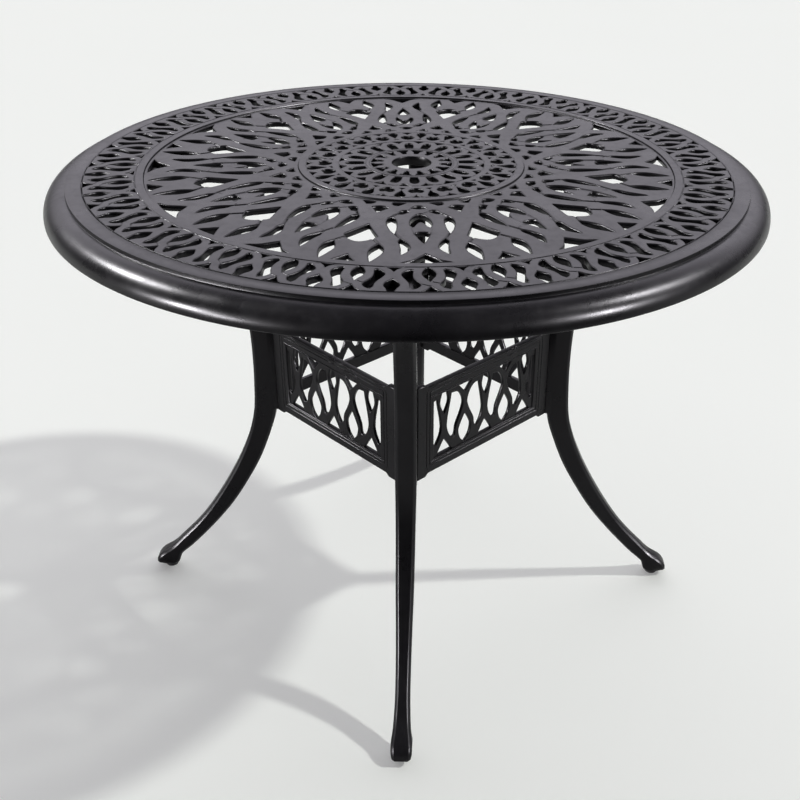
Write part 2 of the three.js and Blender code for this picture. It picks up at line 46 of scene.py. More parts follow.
def smoothOutline(keys, steps, cornerTurn=62.0):  # cubic arcs through the key points, broken at sharp turns
    p = np.asarray(keys, float)
    ahead, behind = np.roll(p, -1, 0), np.roll(p, 1, 0)
    stepAhead = np.linalg.norm(ahead - p, axis=1)[:, None]
    stepBehind = np.linalg.norm(p - behind, axis=1)[:, None]
    cosTurn = np.sum((ahead - p) * (p - behind), 1)[:, None] / (stepAhead * stepBehind)
    sharp = cosTurn < math.cos(math.radians(cornerTurn))
    along = (ahead - behind) / (stepAhead + stepBehind)
    leave = np.where(sharp, ahead - p, along * stepAhead)
    arrive = np.roll(np.where(sharp, p - behind, along * stepBehind), -1, 0)
    t = (np.arange(steps) / steps)[None, :, None]
    blend = [2 * t**3 - 3 * t**2 + 1, t**3 - 2 * t**2 + t, 3 * t**2 - 2 * t**3, t**3 - t**2]
    curve = sum(b * q[:, None, :] for b, q in zip(blend, (p, leave, ahead, arrive)))
    return curve.reshape(-1, 2)


def bothSides(half):                              # closed outline from its right half
    half = np.asarray(half, float)
    left = half[::-1][half[::-1, 0] > 1e-9] * [-1, 1]
    return np.concatenate([half, left])


def mirrorAcross(keys):                           # the same outline on the other side of the centre line
    return np.asarray(keys, float)[::-1] * [-1, 1]


def polarLoop(keys, centre, steps):               # keys: degrees from the centre line, shares of the unit
    keys = np.asarray(keys, float)
    flat = np.stack([np.radians(keys[:, 0]) * keys[:, 1].mean(), keys[:, 1]], 1)
    curve = smoothOutline(flat, steps)
    angle = curve[:, 0] / keys[:, 1].mean() + math.radians(centre)
    return np.stack([np.cos(angle), np.sin(angle)], 1) * curve[:, 1:] * unit


def polarRing(shapes, repeats, turn, steps):      # every shape once in each of the pattern's cells
    pitch = 360.0 / repeats
    return [polarLoop(keys, turn + pitch * (cell + shift), steps)
            for keys, shift in shapes for cell in range(repeats)]


def circle(radius, count):
    angle = np.arange(count) / count * 2 * np.pi
    return np.stack([np.cos(angle), np.sin(angle)], 1) * radius


def signedArea(loop):
    x, y = loop.T
    return 0.5 * np.sum(x * np.roll(y, -1) - np.roll(x, -1) * y)


def offsetLoop(loop, distance, sharpest=0.62):    # each point moved left, distance / cos(half turn) along
    # the mean normal of its two edges, with the cosine held above the sharpest
    ahead = np.roll(loop, -1, 0) - loop
    ahead /= np.linalg.norm(ahead, axis=1)[:, None]
    behind = np.roll(ahead, 1, 0)
    normal = np.stack([-(ahead + behind)[:, 1], (ahead + behind)[:, 0]], 1)
    length = np.linalg.norm(normal, axis=1)[:, None]
    return loop + normal / np.maximum(length, 1e-9) * distance / np.maximum(length / 2, sharpest)


def roundedEdge(top, bottom, edge):               # wall of a cast strand, bevelled below and rounded above:
    # offset = edge * (1 - sin a), height = top - edge * (1 - cos a)
    turn = np.radians([0, 30, 60, 90])
    upper = [(edge * (1 - math.sin(a)), top - edge * (1 - math.cos(a))) for a in turn]
    return upper + [(0.0, bottom + edge * 0.6), (edge * 0.4, bottom)]


def plateMesh(outline, outlineWall, holes, holeWalls, creases=(), drop=None):
    # flat plate between its outline and its holes; each wall is a list of (offset into the metal, height)
    # creases are lines of extra vertices in the top face, and drop(spots) says how far the face sinks there
    loops = [outline if signedArea(outline) > 0 else outline[::-1]]
    loops += [h if signedArea(h) < 0 else h[::-1] for h in holes]
    walls = [outlineWall] + list(holeWalls)
    rims = [offsetLoop(loop, wall[0][0]) for loop, wall in zip(loops, walls)]
    starts = np.cumsum([0] + [len(r) for r in rims])
    top, base = outlineWall[0][1], outlineWall[-1][1]
    lines = clearParts(creases, rims)
    edges = []
    for line, first in zip(lines, starts[-1] + np.cumsum([0] + [len(q) for q in lines])):
        row = np.arange(len(line)) + first
        edges += np.stack([row[:-1], row[1:]], -1).tolist()
    points = np.concatenate(rims + lines)
    fills = [(np.arange(len(r)) + s).tolist() for r, s in zip(rims, starts)]
    fills = fills[:1] + [fill[::-1] for fill in fills[1:]]  # every filled face runs anticlockwise
    spots, _, tris, origin, _, owners = delaunay_2d_cdt(points.tolist(), edges, fills, 1, 1e-9, True)
    spots = np.array([tuple(v) for v in spots])
    inside = np.array([len(o) == 1 and o[0] == 0 for o in owners])
    tris = np.array([tuple(t) for t in tris])[inside]
    found = np.empty(len(points), int)
    given = np.concatenate([np.asarray(o, int) for o in origin])
    found[given] = np.repeat(np.arange(len(spots)), list(map(len, origin)))

    def sunk(places, level):                      # the whole depth at the top, none at the underside
        return level if drop is None else level - drop(places) * (level - base) / (top - base)

    height = sunk(spots, np.full(len(spots), top))
    level = height[tris].min(1) > top - 1e-6      # these stay flat, the others are shaded smooth
    count = len(spots)
    below = spots.copy()
    verts = [np.column_stack([spots, height])]
    parts, faces, extra = [], [], 2 * count
    for loop, wall, first in zip(loops, walls, starts):
        n = len(loop)
        row = found[first:first + n]
        below[row] = offsetLoop(loop, wall[-1][0])
        for offset, rise in wall[1:-1]:
            ring = offsetLoop(loop, offset)
            parts.append(np.column_stack([ring, sunk(ring, np.full(n, rise))]))
            following = np.arange(n) + extra
            faces.append(stripFaces(row, following))
            row, extra = following, extra + n
        faces.append(stripFaces(row, found[first:first + n] + count))
    verts.append(np.column_stack([below, np.full(count, base)]))
    flatCount = len(tris) + int(level.sum())
    faceSets = [tris[level], tris[:, ::-1] + count, tris[~level]] + faces
    return np.concatenate(verts + parts), faceSets, flatCount


def clearParts(lines, rims, margin=0.0006):       # the stretches of each line that lie well in the metal
    if not len(lines):
        return []
    spots = np.concatenate(lines)
    a, b = np.concatenate(rims), np.concatenate([np.roll(rim, -1, 0) for rim in rims])
    crossings = np.zeros(len(spots), int)         # rim edges to the right of each spot: odd in the metal
    for first in range(0, len(a), chunk):
        p, q = a[first:first + chunk], b[first:first + chunk]
        span = (p[:, 1] > spots[:, None, 1]) != (q[:, 1] > spots[:, None, 1])
        slope = (q[:, 0] - p[:, 0]) / np.where(q[:, 1] == p[:, 1], 1.0, q[:, 1] - p[:, 1])
        crossings += np.sum(span & (spots[:, None, 0] < p[:, 0] + (spots[:, None, 1] - p[:, 1]) * slope), 1)
    rows = [np.stack([p, q]) for p, q in zip(a, b)]
    clear = (crossings % 2 == 1) & (lineDistance(spots, rows) > margin)
    pieces = []
    for line, first in zip(lines, np.cumsum([0] + [len(line) for line in lines])):
        free = clear[first:first + len(line)]
        runs = np.split(np.arange(len(line)), np.flatnonzero(np.diff(free.astype(int))) + 1)
        pieces += [line[run] for run in runs if free[run[0]] and len(run) > 1]
    return pieces


def offsetLine(line, distance):                   # open line moved sideways
    way = np.gradient(line, axis=0)
    way /= np.linalg.norm(way, axis=1)[:, None]
    return line + np.stack([-way[:, 1], way[:, 0]], 1) * distance


def lineDistance(spots, lines):                   # distance of every spot to the nearest line
    a = np.concatenate([g[:-1] for g in lines])
    b = np.concatenate([g[1:] for g in lines])
    best = np.full(len(spots), 1.0)
    for first in range(0, len(a), chunk):
        p, q = a[first:first + chunk], b[first:first + chunk]
        share = np.sum((spots[:, None] - p) * (q - p), 2) / np.sum((q - p) ** 2, 1)
        near = p + np.clip(share, 0, 1)[..., None] * (q - p)
        best = np.minimum(best, np.linalg.norm(spots[:, None] - near, axis=2).min(1))
    return best


def sinkAlong(valleys, rings=(), ringSteps=400):  # creases and depth of valleys and of grooves round the axis
    # valleys: (lines, half width, depth, half width of the floor); rings: (radius, half width, depth)
    creases = []
    for lines, width, depth, floor in valleys:
        shares = (-1, -floor / width, floor / width, 1) if floor else (-1, -0.5, 0, 0.5, 1)
        creases += [offsetLine(line, share * width) for line in lines for share in shares]
    for radius, width, depth in rings:
        closed = [circle(radius + share * width, ringSteps) for share in (-1, -0.5, 0, 0.5, 1)]
        creases += [np.concatenate([ring, ring[:1]]) for ring in closed]

    def drop(spots):                              # depth * ((width - distance) / (width - floor)) squared
        deep = np.zeros(len(spots))
        for lines, width, depth, floor in valleys:
            share = (width - lineDistance(spots, lines)) / (width - floor)
            deep = np.maximum(deep, depth * np.clip(share, 0, 1) ** 2)
        for radius, width, depth in rings:
            share = 1 - np.abs(np.hypot(spots[:, 0], spots[:, 1]) - radius) / width
            deep = np.maximum(deep, depth * np.clip(share, 0, 1) ** 2)
        return deep

    return creases, drop


def stripFaces(upper, lower):                     # quads between two closed rows of equal length
    return np.stack([upper, lower, np.roll(lower, -1), np.roll(upper, -1)], 1)


def gridFaces(rows, count, closed=True):          # quads of a grid whose rows are closed loops
    index = np.arange(rows * count).reshape(rows, count)
    return np.concatenate([stripFaces(index[i], index[i + 1]) for i in range(rows - 1)]
                          + ([stripFaces(index[-1], index[0])] if closed else []))


def makePiece(name, shells, material, body, nodes, smoothAngle):
    # one mesh object from shells of (vertices, face arrays, number of flat faces that lead the list)
    verts, faces, smooth, start = [], [], [], 0
    for points, faceSets, flatCount in shells:
        rows = [row for part in faceSets for row in (np.asarray(part) + start).tolist()]
        verts.append(points)
        faces += rows
        smooth.append(np.arange(len(rows)) >= flatCount)
        start += len(points)
    mesh = bpy.data.meshes.new(name)
    mesh.from_pydata(np.concatenate(verts).tolist(), [], faces)
    mesh.set_sharp_from_angle(angle=math.radians(smoothAngle))
    mesh.polygons.foreach_set("use_smooth", np.concatenate(smooth))
    mesh.materials.append(material)
    piece = bpy.data.objects.new(name, mesh)
    bpy.context.collection.objects.link(piece)
    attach(piece, body)
    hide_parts(*nodes)


def turnShell(shell, degrees):                    # turned about the axis: (x cos - y sin, x sin + y cos, z)
    c, s = math.cos(math.radians(degrees)), math.sin(math.radians(degrees))
    points, faces, flatCount = shell
    return points @ np.array([[c, s, 0], [-s, c, 0], [0, 0, 1]]), faces, flatCount


def standShell(shell):                            # a plate of (along, up, out) becomes (out, along, up)
    points, faces, flatCount = shell
    return points[:, [2, 0, 1]], faces, flatCount


# materials: powder coat, zinc and nylon
def addNode(tree, kind, settings=None, **inputs):  # inputs by name, or by number as i0, i1 and so on
    node = tree.nodes.new(kind)
    for key, value in (settings or {}).items():
        setattr(node, key, value)
    for key, value in inputs.items():
        numbered = key[0] == "i" and key[1:].isdigit()
        socket = node.inputs[int(key[1:]) if numbered else key.replace("_", " ")]
        if isinstance(value, bpy.types.NodeSocket):
            tree.links.new(value, socket)
        else:
            socket.default_value = value
    return node


def newGroup(name, inputs, outputs):
    group = bpy.data.node_groups.new(name, "ShaderNodeTree")
    for label, kind, value in inputs:
        item = group.interface.new_socket(label, in_out="INPUT", socket_type=kind)
        if value is not None:
            item.default_value = value
    for label, kind in outputs:
        group.interface.new_socket(label, in_out="OUTPUT", socket_type=kind)
    return group, group.nodes.new("NodeGroupInput"), group.nodes.new("NodeGroupOutput")


def mapRange(tree, value, low, high, toLow, toHigh):
    return addNode(tree, "ShaderNodeMapRange", None, Value=value, From_Min=low, From_Max=high,
                   To_Min=toLow, To_Max=toHigh).outputs[0]


coatSettings = {"cloudScale": 9.0, "pebbleScale": 620.0, "dustScale": 74.0, "speckFrom": 0.47,
                "speckTo": 0.72, "dustRoughness": 0.1, "sheenTint": (0.97, 0.94, 1.0, 1)}


def makeCoatGroup():                              # clouds, fine pebbling and settled dust of a sprayed coat
    s = coatSettings
    group, source, result = newGroup(
        "coatSurface",
        [("Position", "NodeSocketVector", None), ("Grain Size", "NodeSocketFloat", 1.0)],
        [("Cloud", "NodeSocketFloat"), ("Pebble", "NodeSocketFloat"), ("Dust", "NodeSocketFloat")],
    )
    place = addNode(group, "ShaderNodeVectorMath", {"operation": "SCALE"}, i0=source.outputs[0],
                    Scale=source.outputs[1]).outputs[0]
    cloud = addNode(group, "ShaderNodeTexNoise", None, Vector=place, Scale=s["cloudScale"], Detail=5.0,
                    Roughness=0.62)
    pebble = addNode(group, "ShaderNodeTexNoise", None, Vector=place, Scale=s["pebbleScale"], Detail=2.0,
                     Roughness=0.5)
    dust = addNode(group, "ShaderNodeTexNoise", None, Vector=place, Scale=s["dustScale"], Detail=6.0,
                   Roughness=0.72, Distortion=0.3)
    normal = addNode(group, "ShaderNodeNewGeometry").outputs["Normal"]
    up = addNode(group, "ShaderNodeSeparateXYZ", None, i0=normal)
    facing = mapRange(group, up.outputs[2], 0.2, 1.0, 0.15, 1.0)
    specks = mapRange(group, dust.outputs["Fac"], s["speckFrom"], s["speckTo"], 0.0, 1.0)
    settled = addNode(group, "ShaderNodeMath", {"operation": "MULTIPLY"}, i0=facing, i1=specks).outputs[0]
    group.links.new(mapRange(group, cloud.outputs["Fac"], 0.3, 0.7, 0.0, 1.0), result.inputs[0])
    group.links.new(pebble.outputs["Fac"], result.inputs[1])
    group.links.new(settled, result.inputs[2])
    return group


def coatMaterial(name, coatGroup, look):
    material = bpy.data.materials.new(name)
    material.use_nodes = True
    tree = material.node_tree
    shader = tree.nodes["Principled BSDF"]
    position = addNode(tree, "ShaderNodeTexCoord").outputs["Object"]
    surface = addNode(tree, "ShaderNodeGroup", {"node_tree": coatGroup}, Position=position,
                      Grain_Size=look["grainSize"]).outputs
    base = addNode(tree, "ShaderNodeMix", {"data_type": "RGBA"}, i0=surface[0], i6=look["dark"],
                   i7=look["light"])
    dusted = addNode(tree, "ShaderNodeMath", {"operation": "MULTIPLY"}, i0=surface[2], i1=look["dustAmount"])
    colour = addNode(tree, "ShaderNodeMix", {"data_type": "RGBA"}, i0=dusted.outputs[0], i6=base.outputs[2],
                     i7=look["dustColour"])
    tree.links.new(colour.outputs[2], shader.inputs["Base Color"])
    cloudy = mapRange(tree, surface[0], 0.0, 1.0, look["roughLow"], look["roughHigh"])
    rough = addNode(tree, "ShaderNodeMath", {"operation": "MULTIPLY_ADD"}, i0=surface[2], i2=cloudy,
                    i1=coatSettings["dustRoughness"])
    tree.links.new(rough.outputs[0], shader.inputs["Roughness"])
    bump = addNode(tree, "ShaderNodeBump", None, Strength=look["bumpStrength"], Distance=look["bumpDistance"],
                   Height=surface[1])
    tree.links.new(bump.outputs[0], shader.inputs["Normal"])
    shader.inputs["Metallic"].default_value = look["metallic"]
    shader.inputs["Specular IOR Level"].default_value = look["specular"]
    shader.inputs["Specular Tint"].default_value = coatSettings["sheenTint"]
    return material


coatGroup = makeCoatGroup()
castLook = {
    "grainSize": 1.0, "dark": (0.0035, 0.0033, 0.0041, 1), "light": (0.0070, 0.0066, 0.0079, 1),
    "dustAmount": 0.08, "dustColour": (0.060, 0.058, 0.062, 1), "roughLow": 0.24, "roughHigh": 0.35,
    "bumpStrength": 0.10, "bumpDistance": 0.0004, "metallic": 0.0, "specular": 0.21,
}
braceLook = dict(castLook, grainSize=1.4, roughLow=0.42, roughHigh=0.55, dustAmount=0.2)
zincLook = {
    "grainSize": 2.5, "dark": (0.30, 0.30, 0.31, 1), "light": (0.44, 0.44, 0.45, 1), "dustAmount": 0.3,
    "dustColour": (0.20, 0.19, 0.18, 1), "roughLow": 0.28, "roughHigh": 0.42, "bumpStrength": 0.2,
    "bumpDistance": 0.0002, "metallic": 1.0, "specular": 0.5,
}
nylonLook = {
    "grainSize": 2.0, "dark": (0.012, 0.012, 0.012, 1), "light": (0.022, 0.021, 0.021, 1), "dustAmount": 0.35,
    "dustColour": (0.11, 0.10, 0.09, 1), "roughLow": 0.55, "roughHigh": 0.72, "bumpStrength": 0.3,
    "bumpDistance": 0.0003, "metallic": 0.0, "specular": 0.4,
}
castPaint = coatMaterial("castPaint", coatGroup, castLook)
bracePaint = coatMaterial("bracePaint", coatGroup, braceLook)
zincSteel = coatMaterial("zincSteel", coatGroup, zincLook)
nylon = coatMaterial("nylon", coatGroup, nylonLook)
print("stage: materials")


# rim: a profile of (radius, height) turned about the axis
rimSettings = {"radialSteps": 384, "bulgeSteps": 20, "seam": 0.0014, "curveHeight": 0.7252,
               "bulge": (0.4908, 0.0312, 0.0274), "lining": (0.4905, 0.0260, 0.0215)}


def quarterEllipse(start, reach, rise):           # (start + reach * sin a, curveHeight + rise * cos a)
    turn = np.linspace(0, np.pi / 2, rimSettings["bulgeSteps"])
    return np.stack([start + reach * np.sin(turn), rimSettings["curveHeight"] + rise * np.cos(turn)], 1)


def rimProfile():                                 # step, bullnose, lip and the hollow behind it
    s = rimSettings
    bulge, lining = quarterEllipse(*s["bulge"]), quarterEllipse(*s["lining"])[::-1]
    return np.concatenate([
        [[0.4683, 0.7571], [0.4683 + s["seam"] * 0.5, 0.7577], [0.4683 + s["seam"], 0.758]],
        [[0.4896, 0.758], [0.4899, 0.7579], [0.4901, 0.7576], [0.4903, 0.7534], [0.4905, 0.7528]],
        bulge, [[0.5220, 0.7236], [0.5217, 0.7226], [0.5209, 0.7220], [0.5190, 0.7220], [0.5176, 0.7224]],
        [[0.5168, 0.7234]], lining, [[0.4892, 0.7471], [0.4880, 0.7480], [0.4716, 0.7480], [0.4715, 0.7481]],
        [[0.4715, 0.7530], [0.4684, 0.7530], [0.4683, 0.7531]],
    ])


def makeRim():                                    # every point becomes (radius cos a, radius sin a, height)
    profile = rimProfile()
    ring = circle(1.0, rimSettings["radialSteps"])
    verts = np.concatenate([ring[None] * profile[:, None, :1],
                            np.broadcast_to(profile[:, None, 1:], (len(profile), len(ring), 1))], 2)
    shell = (verts.reshape(-1, 3), [gridFaces(len(profile), len(ring))], 0)
    makePiece("castRim", [shell], castPaint, "table", ["rim"], 30)


makeRim()
print("stage: rim")


# lattice ring between the rim and the petals
latticeSettings = {"repeats": 32, "steps": 4, "edge": 0.0016, "top": 0.7580, "bottom": 0.7480,
                   "ringSteps": 384, "outer": 0.4680, "inner": 0.3853, "outerSeam": 0.0014,
                   "innerSeam": 0.0006, "crossing": (0.0014, 0.0008), "grooves": [(0.3975, 0.0016, 0.0010)]}
lapSettings = {"outerReach": -0.0032, "innerReach": 0.0035, "outerHeight": 0.7527, "innerHeight": 0.7530,
               "chamfer": 0.0003}
latticeSlot = [(2.6, 0.9825), (1.95, 0.975), (1.45, 0.9585), (1.62, 0.945), (2.1, 0.931), (2.5, 0.913),
               (2.6, 0.890), (2.52, 0.8685), (2.8, 0.8645), (3.7, 0.874), (4.3, 0.892), (3.95, 0.912),
               (3.38, 0.932), (3.04, 0.951), (2.94, 0.9705)]
latticeShapes = [
    (bothSides([(1.35, 0.9975), (0.72, 0.9875), (0.33, 0.977), (0, 0.9665)]), 0),
    (bothSides([(0, 0.9375), (0.42, 0.9205), (0.8, 0.909), (1.07, 0.893), (1.0, 0.879), (0.6, 0.862),
                (0.25, 0.8535), (0, 0.8525)]), 0),
    (latticeSlot, 0), (mirrorAcross(latticeSlot), 0),
    (bothSides([(0.42, 0.9965), (0.72, 0.977), (1.03, 0.966), (1.13, 0.9547), (0.92, 0.943), (0.48, 0.933),
                (0, 0.9235)]), 0.5),
    (bothSides([(0, 0.877), (0.4, 0.864), (1.15, 0.8535)]), 0.5),
]
latticeCrossings = [[(-1.46, 0.953), (-0.8, 0.9585), (0.0, 0.9665)],
                    [(0.0, 0.9375), (0.8, 0.945), (1.46, 0.9515)]]


def lapWall(s, which):                            # edge of a ring that carries the outer or the inner lap
    reach, lap, seam = lapSettings[which + "Reach"], lapSettings[which + "Height"], s[which + "Seam"]
    bevel = lapSettings["chamfer"]
    return [(seam, s["top"]), (0.0, s["top"] - seam), (0.0, lap), (reach, lap), (reach, s["bottom"] + bevel),
            (reach + bevel, s["bottom"])]


def patternLines(keySets, repeats, both):         # the same lines in every cell, mirrored too if both is set
    lines = []
    for keys in keySets:
        spot = np.asarray(keys, float)
        t = np.linspace(0, len(spot) - 1, 4 * len(spot))
        turn = np.interp(t, np.arange(len(spot)), spot[:, 0])
        reach = np.interp(t, np.arange(len(spot)), spot[:, 1]) * unit
        for side in (1, -1) if both else (1,):
            for cell in range(repeats):
                angle = np.radians(turn * side + patternCentre + 360.0 / repeats * cell)
                lines.append(np.stack([np.cos(angle), np.sin(angle)], 1) * reach[:, None])
    return lines


def makeRing(name, s, shapes, innerWall, valleys, node, extraHoles=()):
    holes = polarRing(shapes, s["repeats"], patternCentre, s["steps"]) + list(extraHoles)
    wall = roundedEdge(s["top"], s["bottom"], s["edge"])
    loops = [circle(s["inner"], s["ringSteps"])] + holes
    shell = plateMesh(circle(s["outer"], s["ringSteps"]), lapWall(s, "outer"), loops,
                      [innerWall] + [wall] * len(holes), *sinkAlong(valleys, s["grooves"]))
    makePiece(name, [shell], castPaint, "table", [node], 50)


def makeLattice():
    s = latticeSettings
    crossings = patternLines(latticeCrossings, s["repeats"], False)
    makeRing("latticeRing", s, latticeShapes, lapWall(s, "inner"), [(crossings, *s["crossing"], 0.0)],
             "border_lattice")


makeLattice()
print("stage: lattice")


# petal field: twelve petals of rounded strands; where two strands touch there is a valley between them
petalSettings = {"repeats": 12, "steps": 4, "edge": 0.0022, "top": 0.7560, "bottom": 0.7480,
                 "ringSteps": 360, "outer": 0.3850, "inner": 0.1673, "outerSeam": 0.0003,
                 "innerSeam": 0.0003, "grooves": (), "valley": (0.0028, 0.0022, 0.0),
                 "crossing": (0.0014, 0.0009, 0.0), "web": (0.0115, 0.0013, 0.0085)}
petalUpper = [(4.75, 0.756), (3.9, 0.738), (3.2, 0.716), (3.2, 0.697), (3.7, 0.676), (4.5, 0.659),
              (5.35, 0.6455), (5.75, 0.664), (5.3, 0.688), (5.0, 0.712), (4.95, 0.736)]
petalLower = [(7.2, 0.606), (6.95, 0.580), (7.1, 0.545), (7.4, 0.518), (8.0, 0.498), (9.4, 0.486),
              (10.2, 0.497), (10.35, 0.518), (9.9, 0.541), (9.1, 0.565), (8.2, 0.588)]
petalSmall = [(7.6, 0.4595), (6.2, 0.4625), (4.7, 0.4505), (3.4, 0.4405), (4.6, 0.4325), (5.9, 0.4320),
              (7.0, 0.4430)]
petalLeaf = [(10.3, 0.808), (9.7, 0.790), (9.0, 0.765), (8.55, 0.738), (8.8, 0.711), (9.9, 0.6875),
             (10.85, 0.711), (11.35, 0.738), (11.05, 0.765), (10.65, 0.790)]
petalRoot = [(11.0, 0.3715), (11.0, 0.380), (9.8, 0.391), (8.4, 0.394), (7.0, 0.3825), (5.4, 0.3715)]
petalShapes = [
    (bothSides([(4.7, 0.8145), (2.5, 0.796), (1.1, 0.772), (0, 0.754)]), 0),
    (bothSides([(0, 0.679), (0.75, 0.653), (1.25, 0.635), (1.8, 0.612), (1.75, 0.598), (0.9, 0.5925),
                (0, 0.5920)]), 0),
    (bothSides([(0, 0.513), (0.7, 0.518), (1.4, 0.530), (2.0, 0.546), (2.5, 0.555), (3.0, 0.548),
                (3.25, 0.527), (3.1, 0.504), (2.4, 0.483), (1.2, 0.466), (0, 0.4575)]), 0),
    (bothSides([(0, 0.4185), (1.6, 0.416), (3.0, 0.4105), (1.5, 0.397), (0, 0.3925)]), 0),
    (petalUpper, 0), (mirrorAcross(petalUpper), 0), (petalLower, 0), (mirrorAcross(petalLower), 0),
    (petalSmall, 0), (mirrorAcross(petalSmall), 0), (petalLeaf, 0), (mirrorAcross(petalLeaf), 0),
    (petalRoot, 0), (mirrorAcross(petalRoot), 0),
    (bothSides([(0, 0.6785), (1.8, 0.6695), (3.1, 0.6535), (4.0, 0.6390), (3.6, 0.6240), (2.6, 0.602),
                (1.4, 0.577), (0.5, 0.559), (0, 0.551)]), 0.5),
    (bothSides([(0, 0.4525), (1.6, 0.4335), (3.2, 0.4155), (1.9, 0.4075), (0, 0.4035)]), 0.5),
    (bothSides([(2.1, 0.8140), (1.1, 0.795), (0, 0.772)]), 0.5),
]
petalValleys = [                                  # where neighbouring strands touch
    [(5.3, 0.648), (6.1, 0.629), (6.8, 0.612), (7.25, 0.603)],
    [(9.4, 0.489), (8.8, 0.476), (8.1, 0.466), (7.5, 0.459)],
    [(9.9, 0.690), (10.5, 0.677), (11.3, 0.663), (12.0, 0.652)],
]
petalCrossings = [[(0.2, 0.4590), (1.6, 0.4525), (3.5, 0.4405)],
                  [(-4.6, 0.4330), (-3.6, 0.4235), (-2.7, 0.4120)]]
petalWeb = [[(0.25, 0.606), (0.5, 0.570), (0.8, 0.508)]]  # the web inside a petal, sunk with a flat floor


def makePetals():
    s = petalSettings
    valleys = [(patternLines(petalValleys, s["repeats"], True), *s["valley"]),
               (patternLines(petalCrossings, s["repeats"], False), *s["crossing"]),
               (patternLines(petalWeb, s["repeats"], True), *s["web"])]
    makeRing("petalRing", s, petalShapes, lapWall(s, "inner"), valleys, "petal_field")


makePetals()
print("stage: petals")


# medallion with the hub, its ring of slots and the collar round the umbrella hole
medallionSettings = {"repeats": 20, "steps": 4, "edge": 0.0014, "top": 0.7580, "bottom": 0.7480,
                     "ringSteps": 240, "outer": 0.1670, "inner": 0.02925, "outerSeam": 0.0009,
                     "slotRepeats": 16, "slotTurn": patternCentre + 11.25,
                     "grooves": [(radius, 0.0012, 0.0006) for radius in (0.1558, 0.1083, 0.0680, 0.0625)]}
medallionShapes = [
    (bothSides([(0, 0.2515), (2.0, 0.2545), (3.7, 0.263), (4.7, 0.276), (3.9, 0.287), (2.4, 0.2925),
                (1.2, 0.2905), (0, 0.2885)]), 0),
    (bothSides([(0, 0.3305), (1.6, 0.3295), (2.6, 0.322), (2.85, 0.312), (2.3, 0.300), (1.5, 0.290),
                (0.7, 0.280), (0, 0.271)]), 0.5),
    (bothSides([(2.9, 0.3298), (1.2, 0.3215), (0, 0.3115)]), 0),
    (bothSides([(0, 0.2085), (1.9, 0.206), (3.4, 0.1985), (4.3, 0.187), (4.55, 0.172), (4.2, 0.1515)]), 0),
    (bothSides([(5.0, 0.2293), (2.6, 0.2205), (0, 0.2075)]), 0.5),
    (bothSides([(0, 0.2625), (0.9, 0.2565), (2.0, 0.2530)]), 0.5),
]
hubSlot = [(8.4, 0.1275), (7.4, 0.1195), (5.0, 0.1125), (4.2, 0.104), (4.0, 0.0955), (2.2, 0.0908),
           (0, 0.0902)]


def makeMedallion():
    s = medallionSettings
    slots = polarRing([(bothSides(hubSlot), 0)], s["slotRepeats"], s["slotTurn"], s["steps"])
    collar = [(0.0012, 0.7580), (0.0003, 0.7577), (0.0, 0.7568), (0.0, 0.7449), (0.0004, 0.7445),
              (0.0083, 0.7445), (0.0087, 0.7449), (0.0087, 0.7480)]
    makeRing("medallionRing", s, medallionShapes, collar, (), "medallion", slots)


makeMedallion()
print("stage: medallion")


# legs: chamfered sections carried down a C, each from an outer and an inner point of its side view
legSettings = {"rows": 150, "chamfer": 0.0046, "fillet": 0.0012, "socketRadius": 0.0043, "socketTop": 0.0296,
               "socketReach": 0.4375, "around": 24, "cornerPull": 0.22,
               "boss": (0.3383, 0.4962, 0.0006), "pad": (0.7397, 0.7477, 0.0012)}  # bottom, top and edge
legStations = np.array([                          # outer radius and height, inner ones, width, in mm
    [405.2, 747.7, 354, 747.7, 33], [355, 698, 329, 726, 30.4], [317, 655, 287, 675, 30],
    [292, 610, 258, 626, 31], [274, 565, 238, 577, 31.5], [263, 521, 227, 527, 31.5],
    [259, 476, 222, 478, 31.5], [258, 430, 221, 430, 31.5], [259, 385, 222, 383, 31.7],
    [264, 327, 229, 319, 30.5], [272, 295, 240, 285, 29.5], [289, 250, 259, 237, 28.4],
    [311.5, 204, 284.5, 189, 27.3], [338, 158, 313.5, 142, 24.8], [370, 111, 350, 95, 22.8],
    [411, 65, 394, 47, 23.5], [434, 42, 417.5, 24.5, 27.6], [451.8, 29.1, 419.5, 16.6, 31.6],
    [460.4, 18, 421.5, 11.5, 30.8], [460.6, 9.8, 424.5, 7.6, 27.4], [451, 5.3, 427.5, 5.3, 21.5],
]) / 1000


def smoothRows(keys, count):                      # cubic through rows of numbers, evenly spaced on the way
    middle = (keys[:, :2] + keys[:, 2:4]) / 2
    way = np.concatenate([[0], np.cumsum(np.linalg.norm(np.diff(middle, axis=0), axis=1))])
    slope = np.gradient(keys, way, axis=0)
    spot = np.linspace(0, way[-1], count)
    seg = np.clip(np.searchsorted(way, spot, side="right") - 1, 0, len(way) - 2)
    gap = (way[1:] - way[:-1])[seg][:, None]
    t = ((spot - way[seg])[:, None]) / gap
    return ((2 * t**3 - 3 * t**2 + 1) * keys[seg] + (t**3 - 2 * t**2 + t) * gap * slope[seg]
            + (3 * t**2 - 2 * t**3) * keys[seg + 1] + (t**3 - t**2) * gap * slope[seg + 1])


